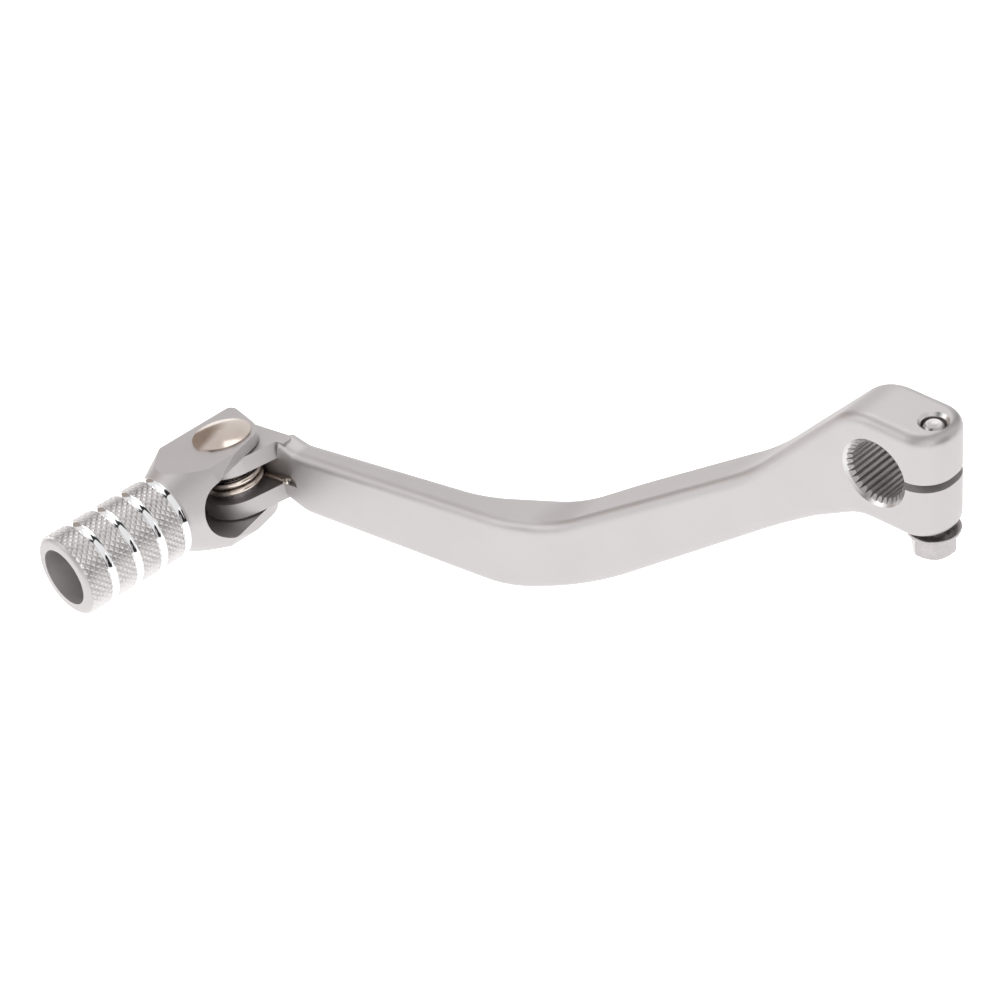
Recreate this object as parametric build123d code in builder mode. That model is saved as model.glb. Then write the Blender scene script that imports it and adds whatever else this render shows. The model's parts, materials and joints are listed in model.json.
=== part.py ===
from build123d import *
import math
import os

# Folding-tip gear shift lever for a motorcycle, all sizes in millimetres.
# Origin: centre of the splined bore, half way through the boss.
# +Y runs along the shift shaft towards the engine, +Z is up, -X is forward to the toe peg.

# --- boss and splined bore ---
boss_thickness = 14.2          # along the shift shaft
boss_top = 12.0                # above the shaft axis
boss_bottom = 11.9             # below the shaft axis
boss_end = 13.6                # rear face behind the shaft axis
boss_corner_radius = 6.5       # rounded rear corners seen from above
spline_count = 32
spline_land_radius = 6.1       # tops of the internal teeth
spline_root_radius = 7.0       # bottoms of the V grooves
spline_land_share = 0.46       # part of each pitch taken by the flat land
bore_rim_radius = 7.5          # outer edge of the lead-in chamfer
slit_width = 1.8
slit_height = 0.45             # middle of the slit above the shaft axis

# --- clamp bolt ---
bolt_diameter = 5.0
bolt_bore_gap = 0.2            # clear of the shaft groove
bolt_hole_clearance = 0.25     # radial, in the lower jaw
bolt_end_below_top = 0.5
bolt_end_chamfer = 0.6
bolt_countersink = 0.6
bolt_gap = 0.8                 # left under the jaw before the bolt is pulled up
flange_diameter = 10.8
flange_thickness = 0.9
flange_dish_depth = 0.5
hex_across_flats = 8.0
hex_height = 4.8
hex_chamfer = 0.35
hex_turn = 17.0                # where the head came to rest, degrees

# --- arm ---
arm_top_slope = 31.7           # rise of the rear run's upper edge, degrees
arm_bottom_slope = 35.0
elbow_top_x = -76.6
elbow_top_z = -42.1
elbow_top_radius = 32.0
elbow_bottom_x = -75.4
elbow_bottom_z = -60.4
elbow_bottom_radius = 85.0
flare_top_x = -32.0            # where the rear run starts to grow into the boss
flare_bottom_x = -15.5
flare_radius = 45.0
boss_top_start = -6.4
boss_bottom_start = -4.0
arm_top_drop = 1.7             # arm's upper edge below the lobe's, where they meet
arm_bottom_drop = 2.9
arm_shoulder_run = 5.0         # length over which the arm steps down from the lobe
arm_heel_run = 7.0
arm_shoulder_radius = 7.0
arm_offset = 15.8              # how far the peg end stands out from the boss
arm_offset_start = -26.0
arm_offset_end = -88.0
arm_thin_start = -62.0
arm_thin_end = -98.0
arm_thin_thickness = 7.8
arm_tip_thickness = 6.3
arm_plan_radius = 40.0
arm_edge_radius = 2.2

# --- hinge ---
hinge_x = -167.5
hinge_z = -64.4
hinge_reach = 5.9              # arm face ahead of the pin axis
hinge_tilt = 10.5              # pin leans forward, degrees
tip_toe_angle = 3.8            # peg points slightly forward, degrees
lobe_radius = 8.1
lobe_half_height = 7.3
lobe_wall_slant = 14.0         # rear wall of the lobe opens out, degrees
lobe_back_radius = 4.0
lobe_root_overlap = 2.4        # lobe runs this far on into the arm
lobe_rim_radius = 1.8
lobe_back_inset = 2.0          # lobe is thinner than the arm it grows from
lobe_ear_play = 1.5            # arm starts this far behind the fork's ears
slot_half_height = 3.35
slot_radius = 7.75
slot_pocket_end = 14.4
pin_diameter = 6.0
pin_clearance = 0.05           # radial running fit in the lobe and sleeve
pin_head_radius = 6.8
pin_head_rim = 0.45
pin_head_dome = 0.9
pin_tail_radius = 4.3
pin_tail_height = 1.1
pin_tail_flat_radius = 2.6
tail_washer_radius = 5.6
tail_washer_thickness = 1.0

# --- folding tip ---
body_radius = 13.9
body_half_flat = 10.2
fork_half_gap = 7.65
fork_floor = 8.3               # inner face of the closed front side
fork_root = 16.3               # end of the milled slot from the pin axis
ear_radius = 7.95
ear_corner_x = 9.5
ear_corner_y = 10.3
ear_flank_angle = 18.0
ear_corner_radius = 1.6
flare_start = 11.0
flare_end = 19.4
neck_radius = 9.35
peg_radius = 9.45              # floor of the knurling
peg_length = 48.4              # pin axis to the outer face
peg_edge_radius = 1.3
peg_bore_radius = 6.8
peg_bore_floor = 27.0
drill_point_depth = 3.4
groove_first = 21.0
groove_pitch = 6.85
groove_count = 4
groove_width = 1.7
groove_depth = 0.15

# --- spring set ---
wire_diameter = 1.5
coil_radius = 6.2
coil_top_play = 0.1625         # between the last turn and the thrust washer
coil_turns = 2.25
spring_play = 0.05
arm_leg_length = 11.6
tip_leg_length = 12.5
sleeve_radius = 5.0
thrust_washer_radius = 6.9
thrust_washer_thickness = 0.6
stack_play = 0.05

cut_over = 1.0                 # how far a cutting shape passes the surface
size_tolerance = 0.01

half_thickness = boss_thickness / 2
bolt_radius = bolt_diameter / 2
bolt_x = spline_land_radius + bolt_bore_gap + bolt_radius
front_face = -half_thickness - arm_offset
hinge_y = front_face - hinge_reach
pin_radius = pin_diameter / 2

pin_lean = math.radians(hinge_tilt)
hinge_plane = Plane(
    origin=(hinge_x, hinge_y, hinge_z),
    x_dir=(math.cos(pin_lean), 0, math.sin(pin_lean)),
    z_dir=(-math.sin(pin_lean), 0, math.cos(pin_lean)),
)
toe = math.radians(tip_toe_angle)
tip_plane = Plane(
    origin=hinge_plane.origin,
    x_dir=hinge_plane.x_dir * math.cos(toe) - hinge_plane.y_dir * math.sin(toe),
    z_dir=hinge_plane.z_dir,
)
fork_side_plane = Plane(
    origin=tip_plane.from_local_coords((-fork_floor, 0, 0)),
    x_dir=tip_plane.y_dir,
    z_dir=tip_plane.x_dir,
)


def along_slope(start_x, start_z, slope, x):
    """Point at x on an edge that leaves a corner at a slope in degrees."""
    return (x, start_z + (x - start_x) * math.tan(math.radians(slope)))


# side view outline of the arm and boss
arm_left_end = hinge_x + ear_radius + lobe_ear_play
arm_root_z = hinge_z + (arm_left_end - hinge_x) * math.tan(pin_lean)
arm_root_half = lobe_half_height / math.cos(pin_lean)
arm_root_top = (arm_left_end, arm_root_z + arm_root_half)
arm_root_bottom = (arm_left_end, arm_root_z - arm_root_half)
top_fall = (arm_root_top[1] - arm_top_drop - elbow_top_z) / (arm_left_end - elbow_top_x)
bottom_fall = (arm_root_bottom[1] - arm_bottom_drop - elbow_bottom_z) / (arm_left_end - elbow_bottom_x)
shoulder_x = arm_left_end + arm_shoulder_run
heel_x = arm_left_end + arm_heel_run
shoulder = (shoulder_x, elbow_top_z + (shoulder_x - elbow_top_x) * top_fall)
heel = (heel_x, elbow_bottom_z + (heel_x - elbow_bottom_x) * bottom_fall)
flare_top = along_slope(elbow_top_x, elbow_top_z, arm_top_slope, flare_top_x)
flare_bottom = along_slope(elbow_bottom_x, elbow_bottom_z, arm_bottom_slope, flare_bottom_x)

with BuildPart() as lever_arm:
    with BuildSketch(Plane.XZ):
        with BuildLine():
            top_edge = FilletPolyline(
                arm_root_top,
                shoulder,
                (elbow_top_x, elbow_top_z),
                flare_top,
                (boss_top_start, boss_top),
                (boss_end, boss_top),
                radius=[arm_shoulder_radius, elbow_top_radius, flare_radius, boss_top],
            )
            bottom_edge = FilletPolyline(
                (boss_end, -boss_bottom),
                (boss_bottom_start, -boss_bottom),
                flare_bottom,
                (elbow_bottom_x, elbow_bottom_z),
                heel,
                arm_root_bottom,
                radius=[boss_bottom, boss_bottom, elbow_bottom_radius, arm_shoulder_radius],
            )
            Line(top_edge @ 1, bottom_edge @ 0)
            Line(bottom_edge @ 1, top_edge @ 0)
        make_face()
    extrude(amount=boss_thickness + arm_offset, both=True)
    with BuildSketch(Plane.XY):
        with BuildLine():
            front_edge = FilletPolyline(
                (boss_end, -half_thickness),
                (arm_offset_start, -half_thickness),
                (arm_offset_end, front_face),
                (arm_left_end, front_face),
                radius=arm_plan_radius,
            )
            Line((arm_left_end, front_face), (arm_left_end, front_face + arm_tip_thickness))
            thin_share = (arm_thin_start - arm_offset_start) / (arm_offset_end - arm_offset_start)
            back_edge = FilletPolyline(
                (arm_left_end, front_face + arm_tip_thickness),
                (arm_thin_end, front_face + arm_thin_thickness),
                (arm_thin_start, half_thickness - arm_offset * thin_share),
                (arm_offset_start, half_thickness),
                (boss_end, half_thickness),
                radius=arm_plan_radius,
            )
            Line((boss_end, half_thickness), (boss_end, -half_thickness))
        make_face()
    extrude(amount=body_radius - hinge_z, both=True, mode=Mode.INTERSECT)
    rear_corners = lever_arm.edges().filter_by(Axis.Z).group_by(Axis.X)[-1]
    fillet(rear_corners, radius=boss_corner_radius)
    along_faces = lever_arm.edges().filter_by(Axis.Y, reverse=True).filter_by(Axis.Z, reverse=True)
    fillet(along_faces.filter_by(lambda edge: edge.center().X > arm_left_end + cut_over), radius=arm_edge_radius)

    # hinge lobe: round nose about the pin, flat stop face along the toed-in peg, slanted rear wall
    slant = math.radians(lobe_wall_slant)
    wall_start = (lobe_radius * math.cos(slant), -lobe_radius * math.sin(slant))
    wall_length = hinge_reach + cut_over - wall_start[1]
    wall_end = (wall_start[0] + wall_length * math.tan(slant), hinge_reach + cut_over)
    lobe_back = hinge_reach + arm_tip_thickness - lobe_back_inset
    with BuildSketch(hinge_plane.offset(-lobe_half_height)):
        with BuildLine():
            stop_start = (-lobe_radius * math.cos(toe), lobe_radius * math.sin(toe))
            nose = ThreePointArc(stop_start, (0, -lobe_radius), wall_start)
            rear_wall = Line(nose @ 1, wall_end)
            root = Line(wall_end, (wall_end[0] + lobe_root_overlap, wall_end[1]))
            back = FilletPolyline(
                root @ 1,
                (wall_end[0] + lobe_root_overlap, lobe_back),
                (stop_start[0] + (lobe_back - stop_start[1]) * math.tan(toe), lobe_back),
                nose @ 0,
                radius=[lobe_rim_radius, lobe_back_radius],
            )
        make_face()
    extrude(amount=lobe_half_height * 2)

    # spring slot through the lobe, with a pocket for the spring's leg
    pocket_back = coil_radius + wire_diameter / 2 + spring_play
    with BuildSketch(hinge_plane.offset(-slot_half_height)):
        Circle(slot_radius)
        with Locations((-slot_radius, -slot_radius)):
            Rectangle(slot_radius * 4, slot_radius * 2)
        with Locations((0, pocket_back)):
            Rectangle(slot_pocket_end, pocket_back * 2, align=(Align.MIN, Align.MAX))
    extrude(amount=slot_half_height * 2, mode=Mode.SUBTRACT)
    with BuildSketch(hinge_plane.offset(-lobe_half_height)):
        Circle(pin_radius + pin_clearance)
    extrude(amount=lobe_half_height * 2, mode=Mode.SUBTRACT)

    # splined bore with a lead-in chamfer at both faces
    with BuildSketch(Plane.XZ.offset(-half_thickness)):
        Circle(spline_land_radius)
        pitch_angle = 2 * math.pi / spline_count
        groove_half = pitch_angle * (1 - spline_land_share) / 2
        groove_x = spline_land_radius * math.cos(groove_half)
        groove_y = spline_land_radius * math.sin(groove_half)
        with PolarLocations(0, spline_count):
            Polygon((0, 0), (groove_x, -groove_y), (spline_root_radius, 0), (groove_x, groove_y), align=None)
    extrude(amount=boss_thickness, mode=Mode.SUBTRACT)
    for face_side in (-1, 1):
        with BuildSketch(Plane((0, face_side * half_thickness, 0), x_dir=(1, 0, 0), z_dir=(0, face_side, 0))):
            Circle(bore_rim_radius)
        extrude(amount=-(bore_rim_radius - spline_land_radius), taper=45, mode=Mode.SUBTRACT)

    # clamp slit and bolt hole, clear below the slit and tapped above it
    with BuildSketch(Plane.XZ.offset(-half_thickness)):
        with Locations((0, slit_height)):
            Rectangle(boss_end + cut_over, slit_width, align=(Align.MIN, Align.CENTER))
    extrude(amount=boss_thickness, mode=Mode.SUBTRACT)
    with BuildSketch(Plane.XY.offset(-boss_bottom)):
        with Locations((bolt_x, 0)):
            Circle(bolt_radius + bolt_hole_clearance)
    extrude(amount=boss_bottom + slit_height, mode=Mode.SUBTRACT)
    with BuildSketch(Plane.XY.offset(slit_height)):
        with Locations((bolt_x, 0)):
            Circle(bolt_radius)
    extrude(amount=boss_top, mode=Mode.SUBTRACT)
    with BuildSketch(Plane.XY.offset(boss_top)):
        with Locations((bolt_x, 0)):
            Circle(bolt_radius + bolt_countersink)
    extrude(amount=-bolt_countersink, taper=45, mode=Mode.SUBTRACT)

lever_arm.part.label = "lever_arm"

with BuildPart() as folding_tip:
    # turned blank: hollow peg, grooves, flare and round body
    ring_edges = []
    for index in range(groove_count):
        middle = groove_first + groove_pitch * index
        outer = neck_radius if index == 0 else peg_radius
        ring_edges += [
            (outer, groove_width / -2 + middle),
            (peg_radius - groove_depth, groove_width / -2 + middle),
            (peg_radius - groove_depth, groove_width / 2 + middle),
            (peg_radius, groove_width / 2 + middle),
        ]
    with BuildSketch(tip_plane):
        with BuildLine():
            Polyline(
                (0, body_radius),
                (body_radius, body_radius),
                (body_radius, -flare_start),
                (neck_radius, -flare_end),
                *[(radius, -along) for radius, along in ring_edges],
                (peg_radius, -peg_length),
                (peg_bore_radius, -peg_length),
                (peg_bore_radius, -peg_bore_floor),
                (0, -peg_bore_floor + drill_point_depth),
                close=True,
            )
        make_face()
    revolve(axis=Axis(tip_plane.origin, tip_plane.y_dir))
    outer_rim = folding_tip.edges().filter_by(GeomType.CIRCLE)
    far_point = tip_plane.from_local_coords((0, -peg_length, 0))
    outer_rim = outer_rim.filter_by(lambda edge: abs(edge.radius - peg_radius) < size_tolerance)
    outer_rim = outer_rim.sort_by_distance(far_point)[0]
    fillet(outer_rim, radius=peg_edge_radius)

    # flats above and below, ears rounded about the pin on the side that folds
    with BuildSketch(tip_plane.offset(-body_half_flat)):
        flank = math.radians(ear_flank_angle)
        corner_reach = math.hypot(ear_corner_x, ear_corner_y)
        corner_angle = math.atan2(ear_corner_y, -ear_corner_x)
        back_angle = corner_angle - math.acos(ear_radius / corner_reach)
        back_start = (ear_radius * math.cos(back_angle), ear_radius * math.sin(back_angle))
        back_slope = -1 / math.tan(back_angle)
        left_y = back_start[1] + back_slope * (-body_radius - cut_over - back_start[0])
        flank_start = (ear_radius * math.cos(flank), ear_radius * math.sin(flank))
        right_y = flank_start[1] - (body_radius + cut_over - flank_start[0]) / math.tan(flank)
        middle_angle = (flank + back_angle) / 2
        with BuildLine():
            Line((-body_radius - cut_over, left_y), back_start)
            ThreePointArc(
                back_start,
                (ear_radius * math.cos(middle_angle), ear_radius * math.sin(middle_angle)),
                flank_start,
            )
            Polyline(
                flank_start,
                (body_radius + cut_over, right_y),
                (body_radius + cut_over, -peg_length - cut_over),
                (-body_radius - cut_over, -peg_length - cut_over),
                (-body_radius - cut_over, left_y),
            )
        make_face()
    extrude(amount=body_half_flat * 2, mode=Mode.INTERSECT)
    corner_point = tip_plane.from_local_coords((-body_radius, left_y, 0))
    fillet(folding_tip.edges().sort_by_distance(corner_point)[0], radius=ear_corner_radius)

    # slot milled from the rear side, its round end cut by the mill
    with BuildSketch(fork_side_plane):
        with Locations((fork_half_gap - fork_root, 0)):
            Circle(fork_half_gap)
            Rectangle(fork_root + body_radius, fork_half_gap * 2, align=(Align.MIN, Align.CENTER))
    extrude(amount=fork_floor + body_radius + cut_over, mode=Mode.SUBTRACT)
    with BuildSketch(tip_plane.offset(-body_half_flat)):
        Circle(pin_radius)
    extrude(amount=body_half_flat * 2, mode=Mode.SUBTRACT)

folding_tip.part.label = "folding_tip"

with BuildPart() as pivot_pin:
    tail_seat = -body_half_flat - tail_washer_thickness
    dome_top = body_half_flat + pin_head_rim + pin_head_dome
    dome_radius = (pin_head_radius**2 + pin_head_dome**2) / (2 * pin_head_dome)
    dome_angle = math.degrees(math.asin(pin_head_radius / dome_radius))
    with BuildSketch(Plane(tip_plane.origin, x_dir=tip_plane.x_dir, z_dir=-tip_plane.y_dir)):
        with BuildLine():
            Polyline(
                (0, dome_top),
                (0, tail_seat - pin_tail_height),
                (pin_tail_flat_radius, tail_seat - pin_tail_height),
                (pin_tail_radius, tail_seat - pin_tail_height / 2),
                (pin_tail_radius, tail_seat),
                (pin_radius, tail_seat),
                (pin_radius, body_half_flat),
                (pin_head_radius, body_half_flat),
                (pin_head_radius, body_half_flat + pin_head_rim),
            )
            CenterArc((0, dome_top - dome_radius), dome_radius, 90 - dome_angle, dome_angle)
        make_face()
    revolve(axis=Axis(tip_plane.origin, tip_plane.z_dir))

pivot_pin.part.label = "pivot_pin"

with BuildPart() as pin_tail_washer:
    with BuildSketch(tip_plane.offset(-body_half_flat - tail_washer_thickness)):
        Circle(tail_washer_radius)
        Circle(pin_radius, mode=Mode.SUBTRACT)
    extrude(amount=tail_washer_thickness)

pin_tail_washer.part.label = "pin_tail_washer"

with BuildPart() as spring_sleeve:
    with BuildSketch(hinge_plane.offset(-slot_half_height)):
        Circle(sleeve_radius)
        Circle(pin_radius + pin_clearance, mode=Mode.SUBTRACT)
    extrude(amount=slot_half_height * 2)

spring_sleeve.part.label = "spring_sleeve"

with BuildPart() as thrust_washer:
    with BuildSketch(hinge_plane.offset(slot_half_height - thrust_washer_thickness)):
        Circle(thrust_washer_radius)
        Circle(sleeve_radius + stack_play, mode=Mode.SUBTRACT)
    extrude(amount=thrust_washer_thickness)

thrust_washer.part.label = "thrust_washer"

coil_start = -slot_half_height + wire_diameter / 2 + spring_play
coil_end = slot_half_height - thrust_washer_thickness - coil_top_play - wire_diameter / 2
coil_pitch = (coil_end - coil_start) / coil_turns
coil_centre = hinge_plane.offset(coil_start).origin
coil_plane = Plane(origin=coil_centre, x_dir=hinge_plane.y_dir, z_dir=hinge_plane.z_dir)
coil = coil_plane * Helix(pitch=coil_pitch, height=coil_pitch * coil_turns, radius=coil_radius)

with BuildPart() as torsion_spring:
    with BuildSketch(Plane(coil @ 0, z_dir=coil % 0)):
        Circle(wire_diameter / 2)
    sweep(path=coil, is_frenet=True)
    start_cap = torsion_spring.faces().sort_by_distance(coil @ 0)[0]
    end_cap = torsion_spring.faces().sort_by_distance(coil @ 1)[0]
    extrude(start_cap, amount=arm_leg_length, dir=hinge_plane.x_dir)
    leg_spread = math.atan2(fork_floor - coil_radius - wire_diameter / 2 - spring_play, tip_leg_length)
    leg_direction = -tip_plane.y_dir * math.cos(leg_spread) - tip_plane.x_dir * math.sin(leg_spread)
    extrude(end_cap, amount=tip_leg_length, dir=leg_direction)

torsion_spring.part.label = "torsion_spring"

with BuildPart() as clamp_bolt:
    flange_top = -boss_bottom - bolt_gap
    flange_bottom = flange_top - flange_thickness
    hex_bottom = flange_bottom - hex_height
    bolt_end = boss_top - bolt_end_below_top
    with BuildSketch(Plane((bolt_x, 0, 0), x_dir=(1, 0, 0), z_dir=(0, -1, 0))):
        with BuildLine():
            Polyline(
                (0, flange_bottom),
                (flange_diameter / 2, flange_bottom),
                (flange_diameter / 2, flange_top),
                (bolt_radius + flange_dish_depth, flange_top - flange_dish_depth),
                (bolt_radius, flange_top - flange_dish_depth),
                (bolt_radius, bolt_end - bolt_end_chamfer),
                (bolt_radius - bolt_end_chamfer, bolt_end),
                (0, bolt_end),
                close=True,
            )
        make_face()
    revolve(axis=Axis((bolt_x, 0, 0), (0, 0, 1)))
    with BuildSketch(Plane.XY.offset(hex_bottom)):
        with Locations((bolt_x, 0)):
            RegularPolygon(hex_across_flats / 2, 6, major_radius=False, rotation=hex_turn)
    extrude(amount=hex_height)
    hex_corner_edges = clamp_bolt.faces().sort_by(Axis.Z)[0].edges()
    chamfer(hex_corner_edges, length=hex_chamfer)

clamp_bolt.part.label = "clamp_bolt"

pieces = [
    lever_arm,
    folding_tip,
    pivot_pin,
    pin_tail_washer,
    spring_sleeve,
    thrust_washer,
    torsion_spring,
    clamp_bolt,
]
os.makedirs("parts", exist_ok=True)
for piece in pieces:
    export_step(piece.part, f"parts/{piece.part.label}.step")
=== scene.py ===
import json
import math

import bmesh
import bpy
from mathutils import Matrix, Vector


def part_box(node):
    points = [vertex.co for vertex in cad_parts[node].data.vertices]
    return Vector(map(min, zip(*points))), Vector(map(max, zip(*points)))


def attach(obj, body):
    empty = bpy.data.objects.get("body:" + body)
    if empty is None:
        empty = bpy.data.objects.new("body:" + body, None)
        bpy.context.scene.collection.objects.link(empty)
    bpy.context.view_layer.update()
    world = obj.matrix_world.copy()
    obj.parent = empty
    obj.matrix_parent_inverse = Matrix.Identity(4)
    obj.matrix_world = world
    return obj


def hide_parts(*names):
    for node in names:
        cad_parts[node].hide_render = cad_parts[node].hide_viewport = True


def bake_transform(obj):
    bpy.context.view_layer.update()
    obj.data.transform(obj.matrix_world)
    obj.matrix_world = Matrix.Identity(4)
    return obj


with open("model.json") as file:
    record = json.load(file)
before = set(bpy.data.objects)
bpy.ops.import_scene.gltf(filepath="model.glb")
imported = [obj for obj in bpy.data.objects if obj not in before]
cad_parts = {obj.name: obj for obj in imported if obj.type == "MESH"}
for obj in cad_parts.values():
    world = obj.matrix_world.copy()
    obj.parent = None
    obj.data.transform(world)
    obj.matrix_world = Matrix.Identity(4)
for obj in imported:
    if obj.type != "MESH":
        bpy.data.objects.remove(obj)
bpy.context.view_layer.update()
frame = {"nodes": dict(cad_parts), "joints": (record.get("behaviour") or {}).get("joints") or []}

mm = 0.001
grainShare = 0.35  # how far the fine grain, and not the clouds, sets the gloss

# where things are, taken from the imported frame
foldJoint = frame["joints"][0]
pivot = Vector(foldJoint["pos_m"])
pinAxis = Vector(foldJoint["axis"]).normalized()
acrossArm = Vector((pinAxis.z, 0, -pinAxis.x))  # square to the pin, towards the clamp end
engineWard = Vector((0, 1, 0))
boltLow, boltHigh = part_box("clamp_bolt")
boltCentre = (boltLow + boltHigh) / 2
armLow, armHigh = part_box("lever_arm")
tipLow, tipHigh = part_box("folding_tip")


def newObject(name, mesh):
    made = bpy.data.objects.new(name, mesh)
    bpy.context.scene.collection.objects.link(made)
    return made


def meshFrom(name, bm, smoothAngle=35):
    bm.normal_update()
    mesh = bpy.data.meshes.new(name)
    bm.to_mesh(mesh)
    bm.free()
    mesh.shade_smooth()
    mesh.set_sharp_from_angle(angle=math.radians(smoothAngle))
    return mesh


def hingeFrame(toe=0.0):
    # matrix from hinge millimetres (x towards the clamp, y towards the engine, z up the pin) to the frame
    turn = math.radians(toe)
    xAxis = acrossArm * math.cos(turn) - engineWard * math.sin(turn)
    yAxis = pinAxis.cross(xAxis)
    turned = Matrix((xAxis, yAxis, pinAxis)).transposed().to_4x4()
    return Matrix.Translation(pivot) @ turned @ Matrix.Scale(mm, 4)


def lathe(name, profile, place, segments=96):
    # profile is a closed loop of (radius, height) pairs, turned about local z
    bm = bmesh.new()
    rings = []
    for radius, height in profile:
        ring = []
        for k in range(segments):
            angle = 2 * math.pi * k / segments
            ring.append(bm.verts.new((radius * math.cos(angle), radius * math.sin(angle), height)))
        rings.append(ring)
    for lower, upper in zip(rings, rings[1:] + rings[:1]):
        for k in range(segments):
            n = (k + 1) % segments
            bm.faces.new((lower[k], lower[n], upper[n], upper[k]))
    bm.transform(place)
    bmesh.ops.recalc_face_normals(bm, faces=bm.faces)
    return newObject(name, meshFrom(name, bm))


def startMaterial(name):
    mat = bpy.data.materials.new(name)
    mat.use_nodes = True
    tree = mat.node_tree
    shader = tree.nodes["Principled BSDF"]
    coords = tree.nodes.new("ShaderNodeTexCoord")
    return mat, tree, shader, coords.outputs["Object"]


def noiseAt(tree, coords, scale, detail=3.0, roughness=0.5, stretch=None):
    noise = tree.nodes.new("ShaderNodeTexNoise")
    noise.inputs["Scale"].default_value = scale
    noise.inputs["Detail"].default_value = detail
    noise.inputs["Roughness"].default_value = roughness
    if stretch:
        mapping = tree.nodes.new("ShaderNodeMapping")
        mapping.inputs["Scale"].default_value = stretch
        tree.links.new(coords, mapping.inputs["Vector"])
        coords = mapping.outputs["Vector"]
    tree.links.new(coords, noise.inputs["Vector"])
    return noise.outputs["Fac"]


def spread(tree, value, low, high):
    # a noise value stretched over a range
    fit = tree.nodes.new("ShaderNodeMapRange")
    fit.inputs["From Min"].default_value = 0.3
    fit.inputs["From Max"].default_value = 0.7
    fit.inputs["To Min"].default_value = low
    fit.inputs["To Max"].default_value = high
    tree.links.new(value, fit.inputs["Value"])
    return fit.outputs["Result"]


def tint(tree, value, dark, light):
    ramp = tree.nodes.new("ShaderNodeValToRGB")
    ramp.color_ramp.elements[0].position = 0.3
    ramp.color_ramp.elements[1].position = 0.7
    ramp.color_ramp.elements[0].color = (*dark, 1)
    ramp.color_ramp.elements[1].color = (*light, 1)
    tree.links.new(value, ramp.inputs["Fac"])
    return ramp.outputs["Color"]


def bumps(tree, value, strength, depth):
    bump = tree.nodes.new("ShaderNodeBump")
    bump.inputs["Strength"].default_value = strength
    bump.inputs["Distance"].default_value = depth
    tree.links.new(value, bump.inputs["Height"])
    return bump.outputs["Normal"]


def metal(name, dark, light, rough, cloudScale, grainScale, grainStrength, grainDepth,
          stretch=None, metallic=1.0):
    # a metal whose tone and gloss drift in soft clouds, with a fine grain in its surface
    mat, tree, shader, coords = startMaterial(name)
    shader.inputs["Metallic"].default_value = metallic
    clouds = noiseAt(tree, coords, cloudScale, 4)
    grain = noiseAt(tree, coords, grainScale, 3, 0.6, stretch)
    tree.links.new(tint(tree, clouds, dark, light), shader.inputs["Base Color"])
    mixed = tree.nodes.new("ShaderNodeMath")
    mixed.operation = "MULTIPLY_ADD"
    mixed.inputs[1].default_value = grainShare
    tree.links.new(grain, mixed.inputs[0])
    softer = tree.nodes.new("ShaderNodeMath")
    softer.operation = "MULTIPLY"
    softer.inputs[1].default_value = 1 - grainShare
    tree.links.new(clouds, softer.inputs[0])
    tree.links.new(softer.outputs["Value"], mixed.inputs[2])
    tree.links.new(spread(tree, mixed.outputs["Value"], rough[0], rough[1]), shader.inputs["Roughness"])
    tree.links.new(bumps(tree, grain, grainStrength, grainDepth), shader.inputs["Normal"])
    return mat


finishes = {
    "beadBlasted": {"dark": (0.545, 0.52, 0.52), "light": (0.585, 0.56, 0.56), "rough": (0.46, 0.54)},
    "knurled": {"dark": (0.64, 0.62, 0.615), "light": (0.72, 0.70, 0.695), "rough": (0.32, 0.42)},
    "polished": {"dark": (0.84, 0.84, 0.85), "light": (0.90, 0.90, 0.91), "rough": (0.04, 0.09)},
    "turnedBore": {"dark": (0.76, 0.74, 0.735), "light": (0.83, 0.81, 0.80), "rough": (0.38, 0.48)},
    "broached": {"dark": (0.38, 0.365, 0.36), "light": (0.50, 0.485, 0.475), "rough": (0.40, 0.52)},
    "nickel": {"dark": (0.56, 0.48, 0.43), "light": (0.68, 0.60, 0.54), "rough": (0.10, 0.18)},
    "springWire": {"dark": (0.68, 0.60, 0.53), "light": (0.80, 0.72, 0.65), "rough": (0.18, 0.28)},
    "zinc": {"dark": (0.40, 0.375, 0.38), "light": (0.50, 0.47, 0.475), "rough": (0.20, 0.32)},
    "lead": {"dark": (0.62, 0.605, 0.60), "light": (0.70, 0.685, 0.68), "rough": (0.30, 0.38)},
    # near-black washer tone: the thrust washer is a real part, but this dark tone is painted shade for the
    # dark band between the top coil and the upper ear
    "paintedShadeWasher": {"dark": (0.16, 0.16, 0.17), "light": (0.24, 0.24, 0.26), "rough": (0.14, 0.26)},
}

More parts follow.
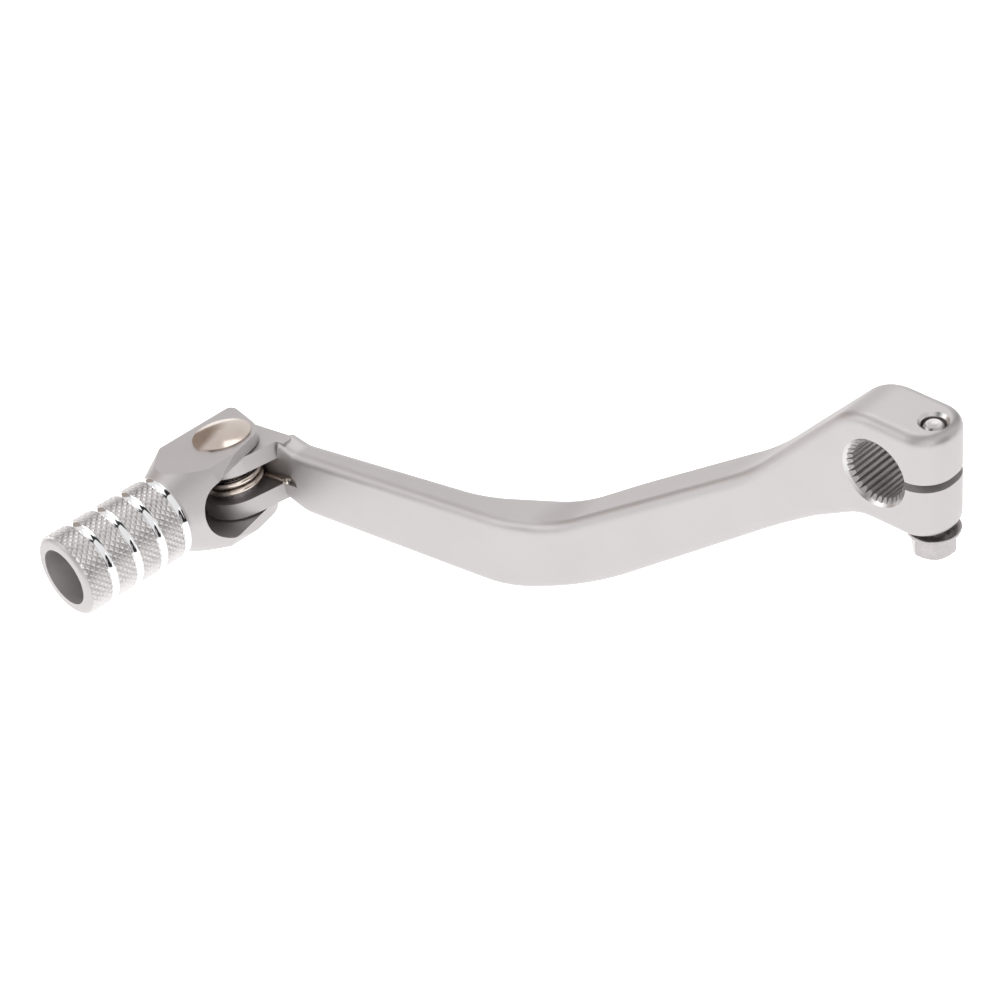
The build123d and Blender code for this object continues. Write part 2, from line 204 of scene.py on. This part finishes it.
materials = {
    "beadBlasted": metal("beadBlastedAluminium", **finishes["beadBlasted"], cloudScale=60,
                         grainScale=2400, grainStrength=0.45, grainDepth=0.03 * mm),
    "knurled": metal("knurledAluminium", **finishes["knurled"], cloudScale=120,
                     grainScale=3000, grainStrength=0.2, grainDepth=0.02 * mm),
    "polished": metal("polishedGroove", **finishes["polished"], cloudScale=150,
                      grainScale=900, grainStrength=0.04, grainDepth=0.01 * mm),
    "turnedBore": metal("turnedBore", **finishes["turnedBore"], cloudScale=90,
                        grainScale=1500, grainStrength=0.2, grainDepth=0.02 * mm, stretch=(1, 6, 1)),
    "broached": metal("broachedSpline", **finishes["broached"], cloudScale=160,
                      grainScale=1800, grainStrength=0.3, grainDepth=0.02 * mm, stretch=(1, 0.06, 1),
                      metallic=0.45),
    "nickel": metal("nickelPlate", **finishes["nickel"], cloudScale=110,
                    grainScale=700, grainStrength=0.06, grainDepth=0.01 * mm),
    "springWire": metal("springWire", **finishes["springWire"], cloudScale=200,
                        grainScale=2200, grainStrength=0.12, grainDepth=0.015 * mm),
    "zinc": metal("zincPlate", **finishes["zinc"], cloudScale=260,
                  grainScale=1100, grainStrength=0.12, grainDepth=0.02 * mm),
    "lead": metal("machinedLeadIn", **finishes["lead"], cloudScale=140,
                  grainScale=1500, grainStrength=0.1, grainDepth=0.01 * mm),
    # painted shade: the near-black washer material stands in for the shade band under the upper ear
    "paintedShadeWasher": metal("thrustWasherPaintedShade", **finishes["paintedShadeWasher"], cloudScale=180,
                      grainScale=1600, grainStrength=0.1, grainDepth=0.02 * mm),
}
print("materials ready")


def setMaterial(obj, name):
    obj.data.materials.clear()
    obj.data.materials.append(materials[name])


def paintZones(node, names, zoneOf):
    # one CAD node, several finishes: zoneOf picks a finish from a face's centre
    mesh = frame["nodes"][node].data
    mesh.materials.clear()
    for name in names:
        mesh.materials.append(materials[name])
    for face in mesh.polygons:
        face.material_index = names.index(zoneOf(face.center))


clamp = {
    "splineRoot": 7.05,
    "boreRim": 7.6,
    "halfThickness": 7.05,
    "slitTop": 1.36,
    "slitBottom": -0.46,
    "countersink": 3.15,
    "rearSkin": 0.3,
}


def armZone(point):
    # broached bore and slit, machined lead-in and countersink, blasted everywhere else
    x, y, z = point / mm
    fromShaft = math.hypot(x, z)
    fromBolt = math.hypot(x - boltCentre.x / mm, y)
    if abs(y) < clamp["halfThickness"] and fromShaft < clamp["splineRoot"]:
        return "broached"
    if abs(y) < clamp["halfThickness"] and fromShaft < clamp["boreRim"]:
        return "lead"
    inSlit = clamp["slitBottom"] < z < clamp["slitTop"] and 0 < x < armHigh.x / mm - clamp["rearSkin"]
    if abs(y) < clamp["halfThickness"] and inSlit:
        return "broached"
    if fromBolt < clamp["countersink"] and fromShaft > clamp["boreRim"]:
        return "lead"
    return "beadBlasted"


paintZones("lever_arm", ["beadBlasted", "broached", "lead"], armZone)

tip = {
    "toe": 3.8,
    "pegRadius": 9.45,
    "pegLength": 48.4,
    "pegEdge": 1.3,
    "boreRadius": 6.8,
    "boreFloor": 27.0,
    "grooveFirst": 21.0,
    "groovePitch": 6.85,
    "grooveCount": 4,
    "grooveWidth": 1.7,
    "grooveRadius": 9.3,
    "boreFloorReach": 4,
    "boreSkin": 0.05,
    "faceRim": 0.3,
    "endBevel": 1.4,
}
knurl = {
    "around": 37,
    "perBand": 3.2,
    "height": 0.32,
    "flatShare": 0.40,
    "sunk": 0.12,
    "phaseStep": 0.37,
    "spareRows": 4,
    "shoulderShare": 0.72,
}
tipPlace = hingeFrame(tip["toe"])
tipInverse = tipPlace.inverted()
knurlFloor = tip["pegRadius"] + 0.01
grooveMiddles = [tip["grooveFirst"] + tip["groovePitch"] * k for k in range(tip["grooveCount"])]


def tipZone(point):
    local = tipInverse @ point
    radius = math.hypot(local.x, local.z)
    along = -local.y
    if along > tip["boreFloor"] - tip["boreFloorReach"] and radius < tip["boreRadius"] + tip["boreSkin"]:
        return "turnedBore"
    outside = radius > tip["boreRadius"] + tip["faceRim"]
    if outside and tip["grooveFirst"] < along < tip["pegLength"] - tip["endBevel"]:
        return "knurled"
    return "beadBlasted"


paintZones("folding_tip", ["beadBlasted", "turnedBore", "knurled"], tipZone)


def grooveRing(name, middle, leftShoulder):
    # polished turned groove: a shallow dish between two chamfered shoulders
    half = tip["grooveWidth"] / 2
    crest = tip["pegRadius"] + knurl["height"] * knurl["shoulderShare"]
    near = crest if leftShoulder else tip["pegRadius"] + 0.03
    profile = [
        (tip["grooveRadius"] - 0.2, half + 0.18),
        (crest - 0.05, half + 0.18),
        (crest, half + 0.12),
        (crest, half + 0.02),
        (tip["grooveRadius"] + 0.10, half - 0.22),
        (tip["grooveRadius"] + 0.04, half - 0.40),
        (tip["grooveRadius"] + 0.02, 0),
        (tip["grooveRadius"] + 0.04, -half + 0.40),
        (tip["grooveRadius"] + 0.10, -half + 0.22),
        (near, -half - 0.02),
        (near, -half - 0.12),
        (near - 0.05, -half - 0.18),
        (tip["grooveRadius"] - 0.2, -half - 0.18),
    ]
    turned = Matrix.Rotation(math.radians(90), 4, "X")  # local z to the peg's outer end
    place = tipPlace @ Matrix.Translation((0, -middle, 0)) @ turned
    ring = lathe(name, profile, place, 128)
    setMaterial(ring, "polished")
    return ring


def diamondMesh(width, length, height, flatShare, floorRadius):
    # one knurl diamond, its four floor corners lying on the peg's round
    bm = bmesh.new()
    drop = floorRadius * (1 - math.cos(width / 2 / floorRadius))
    corners = [(width / 2, 0, -drop), (0, length / 2, 0), (-width / 2, 0, -drop), (0, -length / 2, 0)]
    floor = [bm.verts.new(corner) for corner in corners]
    top = [bm.verts.new((x * flatShare, y * flatShare, height)) for x, y, z in corners]
    for k in range(4):
        n = (k + 1) % 4
        bm.faces.new((floor[k], floor[n], top[n], top[k]))
    bm.faces.new(top)
    mesh = bpy.data.meshes.new("knurlDiamond")
    bm.normal_update()
    bm.to_mesh(mesh)
    bm.free()
    return mesh


def addInput(tree, name, kind):
    tree.interface.new_socket(name, in_out="INPUT", socket_type=kind)


def knurlTree():
    # a lattice of points bent round the peg, each carrying one diamond
    tree = bpy.data.node_groups.new("knurlLattice", "GeometryNodeTree")
    addInput(tree, "Geometry", "NodeSocketGeometry")
    tree.interface.new_socket("Geometry", in_out="OUTPUT", socket_type="NodeSocketGeometry")
    addInput(tree, "Diamond", "NodeSocketObject")
    addInput(tree, "Around", "NodeSocketInt")
    addInput(tree, "Rows", "NodeSocketInt")
    addInput(tree, "Row Step", "NodeSocketFloat")
    addInput(tree, "Start", "NodeSocketFloat")
    addInput(tree, "Radius", "NodeSocketFloat")
    addInput(tree, "Finish", "NodeSocketMaterial")
    nodes, links = tree.nodes, tree.links
    entry = nodes.new("NodeGroupInput")
    leave = nodes.new("NodeGroupOutput")

    def calc(operation, a, b=None, c=None):
        node = nodes.new("ShaderNodeMath")
        node.operation = operation
        for socket, value in zip(node.inputs, (a, b, c)):
            if value is None:
                continue
            if isinstance(value, (int, float)):
                socket.default_value = value
            else:
                links.new(value, socket)
        return node.outputs["Value"]

    total = calc("MULTIPLY", entry.outputs["Around"], entry.outputs["Rows"])
    line = nodes.new("GeometryNodeMeshLine")
    links.new(total, line.inputs["Count"])
    index = nodes.new("GeometryNodeInputIndex").outputs["Index"]
    row = calc("FLOOR", calc("DIVIDE", calc("ADD", index, 0.5), entry.outputs["Around"]))
    column = calc("MODULO", index, entry.outputs["Around"])
    odd = calc("MODULO", row, 2.0)
    turn = calc("DIVIDE", calc("MULTIPLY", calc("ADD", column, calc("MULTIPLY", odd, 0.5)), 2 * math.pi),
                entry.outputs["Around"])
    place = nodes.new("ShaderNodeCombineXYZ")
    links.new(calc("MULTIPLY", calc("SINE", turn), entry.outputs["Radius"]), place.inputs["X"])
    along = calc("ADD", entry.outputs["Start"], calc("MULTIPLY", row, entry.outputs["Row Step"]))
    links.new(calc("MULTIPLY", along, -1.0), place.inputs["Y"])
    links.new(calc("MULTIPLY", calc("COSINE", turn), entry.outputs["Radius"]), place.inputs["Z"])
    move = nodes.new("GeometryNodeSetPosition")
    links.new(line.outputs["Mesh"], move.inputs["Geometry"])
    links.new(place.outputs["Vector"], move.inputs["Position"])
    face = nodes.new("ShaderNodeCombineXYZ")
    links.new(turn, face.inputs["Y"])
    info = nodes.new("GeometryNodeObjectInfo")
    links.new(entry.outputs["Diamond"], info.inputs["Object"])
    scatter = nodes.new("GeometryNodeInstanceOnPoints")
    links.new(move.outputs["Geometry"], scatter.inputs["Points"])
    links.new(info.outputs["Geometry"], scatter.inputs["Instance"])
    links.new(face.outputs["Vector"], scatter.inputs["Rotation"])
    real = nodes.new("GeometryNodeRealizeInstances")
    links.new(scatter.outputs["Instances"], real.inputs["Geometry"])
    weld = nodes.new("GeometryNodeMergeByDistance")
    weld.inputs["Distance"].default_value = 0.01
    links.new(real.outputs["Geometry"], weld.inputs["Geometry"])
    finish = nodes.new("GeometryNodeSetMaterial")
    links.new(weld.outputs["Geometry"], finish.inputs["Geometry"])
    links.new(entry.outputs["Finish"], finish.inputs["Material"])
    links.new(finish.outputs["Geometry"], leave.inputs["Geometry"])
    return tree


def runTree(tree, name, inputs):
    # evaluates a tree on an empty mesh and gives back its plain mesh
    host = newObject(name + "Host", bpy.data.meshes.new(name + "Host"))
    modifier = host.modifiers.new(name, "NODES")
    modifier.node_group = tree
    for item in tree.interface.items_tree:
        if item.item_type == "SOCKET" and item.in_out == "INPUT" and item.name in inputs:
            modifier[item.identifier] = inputs[item.name]
    graph = bpy.context.evaluated_depsgraph_get()
    mesh = bpy.data.meshes.new_from_object(host.evaluated_get(graph))
    host.modifiers.remove(modifier)
    bpy.data.objects.remove(host)
    return mesh


def knurlBands():
    # four bands of diamonds between the polished grooves
    tree = knurlTree()
    width = 2 * math.pi * knurlFloor / knurl["around"]
    bandLength = tip["groovePitch"] - tip["grooveWidth"]
    length = bandLength / knurl["perBand"]
    diamond = diamondMesh(width, length, knurl["height"], knurl["flatShare"], knurlFloor)
    seed = newObject("knurlSeed", diamond)
    bands = []
    for band in range(tip["grooveCount"]):
        start = tip["grooveFirst"] + tip["groovePitch"] * band + tip["grooveWidth"] / 2
        last = band == tip["grooveCount"] - 1
        end = tip["pegLength"] - tip["pegEdge"] * 0.5 if last else start + bandLength
        rows = int((end - start) / (length / 2)) + knurl["spareRows"]
        phase = (band * knurl["phaseStep"] % 1) * length
        mesh = runTree(tree, f"knurlBand{band + 1}", {
            "Diamond": seed,
            "Around": knurl["around"],
            "Rows": rows,
            "Row Step": length / 2,
            "Start": start - length + phase / 2,
            "Radius": knurlFloor,
            "Finish": materials["knurled"],
        })
        bm = bmesh.new()
        bm.from_mesh(mesh)
        for cut, side in ((start, 1), (end, -1)):
            bmesh.ops.bisect_plane(bm, geom=bm.verts[:] + bm.edges[:] + bm.faces[:], plane_co=(0, -cut, 0),
                                   plane_no=(0, side, 0), clear_outer=True, dist=0.001)
        rim = [edge for edge in bm.edges if edge.is_boundary]
        grown = bmesh.ops.extrude_edge_only(bm, edges=rim)["geom"]
        for vert in grown:
            if isinstance(vert, bmesh.types.BMVert):
                radius = math.hypot(vert.co.x, vert.co.z)
                vert.co.x *= (knurlFloor - knurl["sunk"]) / radius
                vert.co.z *= (knurlFloor - knurl["sunk"]) / radius
        if last:
            softenEnd(bm)
        bmesh.ops.recalc_face_normals(bm, faces=bm.faces)
        bm.transform(tipPlace)
        ready = meshFrom(f"knurlBand{band + 1}", bm, 20)
        ready.materials.clear()
        ready.materials.append(materials["knurled"])
        bands.append(newObject(f"knurlBand{band + 1}", ready))
    bpy.data.objects.remove(seed)
    return bands


def softenEnd(bm):
    # the knurl dies away over the rounded outer edge
    bend = tip["pegEdge"]
    first = tip["pegLength"] - bend
    for vert in bm.verts:
        past = -vert.co.y - first
        if past > 0:
            fall = bend - math.sqrt(max(bend * bend - past * past, 0.0))
            radius = math.hypot(vert.co.x, vert.co.z)
            vert.co.x *= (radius - fall) / radius
            vert.co.z *= (radius - fall) / radius


rings = [grooveRing(f"polishedGroove{k + 1}", middle, k > 0) for k, middle in enumerate(grooveMiddles)]
for piece in knurlBands() + rings:
    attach(piece, "tip")
print("folding tip ready")

setMaterial(frame["nodes"]["pivot_pin"], "nickel")
setMaterial(frame["nodes"]["pin_tail_washer"], "zinc")
setMaterial(frame["nodes"]["spring_sleeve"], "zinc")
# the thrust washer gets the near-black tone, which paints the shade band between the coil and the upper ear
setMaterial(frame["nodes"]["thrust_washer"], "paintedShadeWasher")

spring = {
    "wire": 1.5,
    "radius": 6.2,
    "pitch": 1.95,
    "turns": 2.25,
    "slotHalf": 3.35,
    "play": 0.05,
    "armLeg": 11.6,
    "tipLeg": 12.5,
    "legSpread": 1.3,
    "bend": 1.2,
}


def springPath():
    # centre line in hinge millimetres: leg in the arm's pocket, coil, leg along the fork
    low = -spring["slotHalf"] + spring["wire"] / 2 + spring["play"]
    start = Vector((0, spring["radius"], low))
    points = []
    for k in range(9):
        points.append(start + Vector((spring["armLeg"] * (1 - k / 8), 0, 0)))
    steps = int(48 * spring["turns"])
    for k in range(1, steps + 1):
        turn = 2 * math.pi * spring["turns"] * k / steps
        angle = math.pi / 2 + turn
        points.append(Vector((spring["radius"] * math.cos(angle), spring["radius"] * math.sin(angle),
                              low + spring["pitch"] * turn / (2 * math.pi))))
    along = (tipPlace.to_3x3() @ Vector((0, -1, 0))).normalized()
    flat = hingeFrame().to_3x3().inverted() @ along
    flat.normalize()
    aside = Vector((-1, 0, 0))
    spreadShare = spring["legSpread"] / spring["tipLeg"]
    leg = (flat + aside * spreadShare).normalized()
    end = points[-1]
    for k in range(1, 9):
        points.append(end + leg * spring["tipLeg"] * k / 8)
    return points, low


def wireMesh(name, points, radius, sides=20):
    # a round wire along a path, ends closed and slightly rounded
    bm = bmesh.new()
    rings = []
    count = len(points)
    side = None
    for k, point in enumerate(points):
        ahead = points[min(k + 1, count - 1)] - points[max(k - 1, 0)]
        ahead.normalize()
        if side is None:
            side = ahead.orthogonal().normalized()
        side = (side - ahead * side.dot(ahead)).normalized()
        up = ahead.cross(side)
        steps = [(0, 1)]
        if k == 0:
            steps = [(0, 0.86), (0.12, 1)]
        if k == count - 1:
            steps = [(-0.12, 1), (0, 0.86)]
        for shift, scale in steps:
            ring = []
            for s in range(sides):
                angle = 2 * math.pi * s / sides
                offset = side * math.cos(angle) + up * math.sin(angle)
                ring.append(bm.verts.new(point + ahead * shift + offset * radius * scale))
            rings.append(ring)
    for lower, upper in zip(rings, rings[1:]):
        for s in range(sides):
            n = (s + 1) % sides
            bm.faces.new((lower[s], lower[n], upper[n], upper[s]))
    bm.faces.new(rings[0][::-1])
    bm.faces.new(rings[-1])
    bmesh.ops.recalc_face_normals(bm, faces=bm.faces)
    bm.transform(hingeFrame())
    return meshFrom(name, bm, 50)


path, springLow = springPath()
coil = newObject("torsionSpring", wireMesh("torsionSpring", path, spring["wire"] / 2))
setMaterial(coil, "springWire")
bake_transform(coil)
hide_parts("torsion_spring")
print("spring ready")

bolt = {
    "coreRadius": 2.16,
    "threadDepth": 0.34,
    "pitch": 0.8,
    "endChamfer": 0.5,
    "hexAcross": 8.0,
    "hexHeight": 4.8,
    "hexTurn": 17.0,
    "chamferStart": 0.88,
    "flangeRadius": 5.38,
    "flangeThickness": 0.9,
    "dishDepth": 0.5,
}


def boltBody():
    # shank, dished flange and chamfered hexagon in one closed skin, in millimetres up from the head
    top = (boltHigh.z - boltLow.z) / mm
    flangeLow = bolt["hexHeight"]
    flangeHigh = flangeLow + bolt["flangeThickness"]
    inner = bolt["hexAcross"] / 2
    segments = 96
    hexRings = []
    for height in (0, 0.18, 0.36, 0.6, 0.9, 1.3, 2.4, flangeLow - 0.35, flangeLow - 0.12):
        ring = []
        for k in range(segments):
            angle = 2 * math.pi * k / segments
            across = (math.degrees(angle) - bolt["hexTurn"]) % 60 - 30
            limit = inner * bolt["chamferStart"] + height * 1.5
            ring.append((min(inner / math.cos(math.radians(across)), limit), angle, height))
        hexRings.append(ring)
    r = bolt["flangeRadius"]
    c = bolt["coreRadius"]
    turned = [
        (r - 0.35, flangeLow + 0.02), (r - 0.08, flangeLow + 0.16), (r, flangeLow + 0.42),
        (r - 0.02, flangeHigh - 0.10),
        (r - 0.14, flangeHigh), (r - 0.55, flangeHigh - 0.06), (r - 1.3, flangeHigh - 0.36),
        (c + 0.7, flangeHigh - bolt["dishDepth"]), (c + 0.12, flangeHigh - bolt["dishDepth"] + 0.04),
        (c, flangeHigh - bolt["dishDepth"] + 0.2), (c, top - bolt["endChamfer"] - 0.1),
        (c - bolt["endChamfer"] * 0.8, top - 0.12), (c - bolt["endChamfer"] - 0.12, top),
        (0.9, top - 0.03), (0.5, top - 0.10),
    ]
    bm = bmesh.new()
    rings = list(hexRings)
    for radius, height in turned:
        rings.append([(radius, 2 * math.pi * k / segments, height) for k in range(segments)])
    made = []
    for ring in rings:
        made.append([bm.verts.new((radius * math.cos(a), radius * math.sin(a), h)) for radius, a, h in ring])
    for lower, upper in zip(made, made[1:]):
        for k in range(segments):
            n = (k + 1) % segments
            bm.faces.new((lower[k], lower[n], upper[n], upper[k]))
    for ring, height in ((made[0], 0.06), (made[-1], top - 0.10)):
        pole = bm.verts.new((0, 0, height))
        for k in range(segments):
            bm.faces.new((ring[k], ring[(k + 1) % segments], pole))
    bmesh.ops.recalc_face_normals(bm, faces=bm.faces)
    bm.transform(boltPlace)
    return newObject("clampBolt", meshFrom("clampBolt", bm, 24))


def threadTree():
    # a V ridge swept up a helix
    tree = bpy.data.node_groups.new("boltThread", "GeometryNodeTree")
    addInput(tree, "Geometry", "NodeSocketGeometry")
    tree.interface.new_socket("Geometry", in_out="OUTPUT", socket_type="NodeSocketGeometry")
    addInput(tree, "Radius", "NodeSocketFloat")
    addInput(tree, "Turns", "NodeSocketFloat")
    addInput(tree, "Height", "NodeSocketFloat")
    addInput(tree, "Ridge", "NodeSocketFloat")
    addInput(tree, "Finish", "NodeSocketMaterial")
    nodes, links = tree.nodes, tree.links
    entry = nodes.new("NodeGroupInput")
    leave = nodes.new("NodeGroupOutput")
    helix = nodes.new("GeometryNodeCurveSpiral")
    helix.inputs["Resolution"].default_value = 28
    links.new(entry.outputs["Turns"], helix.inputs["Rotations"])
    links.new(entry.outputs["Radius"], helix.inputs["Start Radius"])
    links.new(entry.outputs["Radius"], helix.inputs["End Radius"])
    links.new(entry.outputs["Height"], helix.inputs["Height"])
    ridge = nodes.new("GeometryNodeCurvePrimitiveCircle")
    ridge.inputs["Resolution"].default_value = 4
    links.new(entry.outputs["Ridge"], ridge.inputs["Radius"])
    sweep = nodes.new("GeometryNodeCurveToMesh")
    sweep.inputs["Fill Caps"].default_value = True
    links.new(helix.outputs["Curve"], sweep.inputs["Curve"])
    links.new(ridge.outputs["Curve"], sweep.inputs["Profile Curve"])
    real = nodes.new("GeometryNodeRealizeInstances")
    links.new(sweep.outputs["Mesh"], real.inputs["Geometry"])
    finish = nodes.new("GeometryNodeSetMaterial")
    links.new(real.outputs["Geometry"], finish.inputs["Geometry"])
    links.new(entry.outputs["Finish"], finish.inputs["Material"])
    links.new(finish.outputs["Geometry"], leave.inputs["Geometry"])
    return tree


def boltThread():
    start = bolt["hexHeight"] + bolt["flangeThickness"] + 0.1
    height = (boltHigh.z - boltLow.z) / mm - start - bolt["endChamfer"] - 0.35
    mesh = runTree(threadTree(), "boltThread", {
        "Radius": bolt["coreRadius"],
        "Turns": height / bolt["pitch"],
        "Height": height,
        "Ridge": bolt["threadDepth"],
        "Finish": materials["zinc"],
    })
    bm = bmesh.new()
    bm.from_mesh(mesh)
    bmesh.ops.recalc_face_normals(bm, faces=bm.faces)
    bm.transform(boltPlace @ Matrix.Translation((0, 0, start)))
    thread = newObject("clampBoltThread", meshFrom("clampBoltThread", bm, 30))
    setMaterial(thread, "zinc")
    return thread


boltPlace = Matrix.Translation((boltCentre.x, boltCentre.y, boltLow.z)) @ Matrix.Scale(mm, 4)
shank = boltBody()
setMaterial(shank, "zinc")
for piece in (shank, boltThread()):
    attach(piece, "arm")
    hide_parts("clamp_bolt")
print("clamp bolt ready")

studio = {
    "floorSize": 4.0,
    "floorDrop": 25 * mm,
    "floorGlow": 0.65,
    "bright": (0.90, 0.90, 0.90),
    "black": (0.03, 0.03, 0.03),
    "brown": (0.40, 0.34, 0.30),
    "panels": [(0.0, "brown"), (0.07, "brown"), (0.10, "bright"), (0.385, "bright"), (0.395, "black"),
               (0.55, "black"), (0.56, "bright"), (0.90, "bright"), (0.91, "black"), (1.0, "black")],
}


def makeFloor():
    size = studio["floorSize"] / 2
    low = min(tipLow.z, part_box("pivot_pin")[0].z)
    height = low - studio["floorDrop"]
    bm = bmesh.new()
    corners = [bm.verts.new((x * size, y * size, height)) for x, y in ((-1, -1), (1, -1), (1, 1), (-1, 1))]
    bm.faces.new(corners)
    floor = newObject("floor", meshFrom("floor", bm))
    mat, _, shader, _ = startMaterial("paleFloor")
    shader.inputs["Base Color"].default_value = (0.9, 0.9, 0.9, 1)
    shader.inputs["Roughness"].default_value = 0.8
    shader.inputs["Emission Color"].default_value = (1, 1, 1, 1)
    shader.inputs["Emission Strength"].default_value = studio["floorGlow"]
    floor.data.materials.append(mat)


def softBox(name, direction, distance, width, height, power):
    light = bpy.data.lights.new(name, "AREA")
    light.shape = "RECTANGLE"
    light.size = width
    light.size_y = height
    light.energy = power
    lamp = bpy.data.objects.new(name, light)
    away = Vector(direction).normalized()
    centre = (armLow + armHigh) / 2
    lamp.location = centre + away * distance
    lamp.rotation_euler = away.to_track_quat("Z", "Y").to_euler()
    bpy.context.scene.collection.objects.link(lamp)


lamps = {
    "keyLight": {"direction": (-0.6, -0.6, 0.55), "distance": 0.9, "width": 0.5, "height": 0.5, "power": 1.0},
    "topLight": {"direction": (-0.5, 0.5, 1.0), "distance": 1.0, "width": 0.6, "height": 0.6, "power": 1.4},
    "sideLight": {"direction": (1.0, -0.5, 0.5), "distance": 1.0, "width": 0.4, "height": 0.6, "power": 0.9},
}


def makeRoom():
    world = bpy.data.worlds.new("studioRoom")
    bpy.context.scene.world = world
    world.use_nodes = True
    tree = world.node_tree
    background = tree.nodes["Background"]
    coords = tree.nodes.new("ShaderNodeTexCoord")
    split = tree.nodes.new("ShaderNodeSeparateXYZ")
    tree.links.new(coords.outputs["Generated"], split.inputs["Vector"])
    across = tree.nodes.new("ShaderNodeMapRange")  # from the peg's side of the room to the boss's
    across.inputs["From Min"].default_value = -1.0
    across.inputs["From Max"].default_value = 1.0
    tree.links.new(split.outputs["X"], across.inputs["Value"])
    panels = tree.nodes.new("ShaderNodeValToRGB")  # white panels, with black gaps between them
    tree.links.new(across.outputs["Result"], panels.inputs["Fac"])
    while len(panels.color_ramp.elements) < len(studio["panels"]):
        panels.color_ramp.elements.new(0.5)
    for element, (place, tone) in zip(panels.color_ramp.elements, studio["panels"]):
        element.position = place
        element.color = (*studio[tone], 1)
    tree.links.new(panels.outputs["Color"], background.inputs["Color"])
    background.inputs["Strength"].default_value = 1.0


view = {
    "location": (0.31168, -0.39764, 0.38223),
    "azimuth": 46.75,
    "elevation": 37.5,
    "roll": -5.8,
    "lens": 118.8,
    "sensor": 36,
    "nearest": 0.01,
}


def makeCamera():
    data = bpy.data.cameras.new("camera")
    data.sensor_width = view["sensor"]
    data.lens = view["lens"]
    data.clip_start = view["nearest"]
    camera = bpy.data.objects.new("camera", data)
    azimuth = math.radians(view["azimuth"])
    elevation = math.radians(view["elevation"])
    roll = math.radians(view["roll"])
    ahead = Vector((-math.sin(azimuth) * math.cos(elevation), math.cos(azimuth) * math.cos(elevation),
                    -math.sin(elevation)))
    level = ahead.cross(Vector((0, 0, 1))).normalized()
    above = level.cross(ahead)
    right = level * math.cos(roll) + above * math.sin(roll)
    up = right.cross(ahead)
    turned = Matrix((right, up, -ahead)).transposed().to_4x4()
    camera.matrix_world = Matrix.Translation(view["location"]) @ turned
    bpy.context.scene.collection.objects.link(camera)
    bpy.context.scene.camera = camera


makeFloor()
makeRoom()
for name, lamp in lamps.items():
    softBox(name, **lamp)
makeCamera()
bpy.context.scene.view_settings.view_transform = "Standard"
print("studio ready")
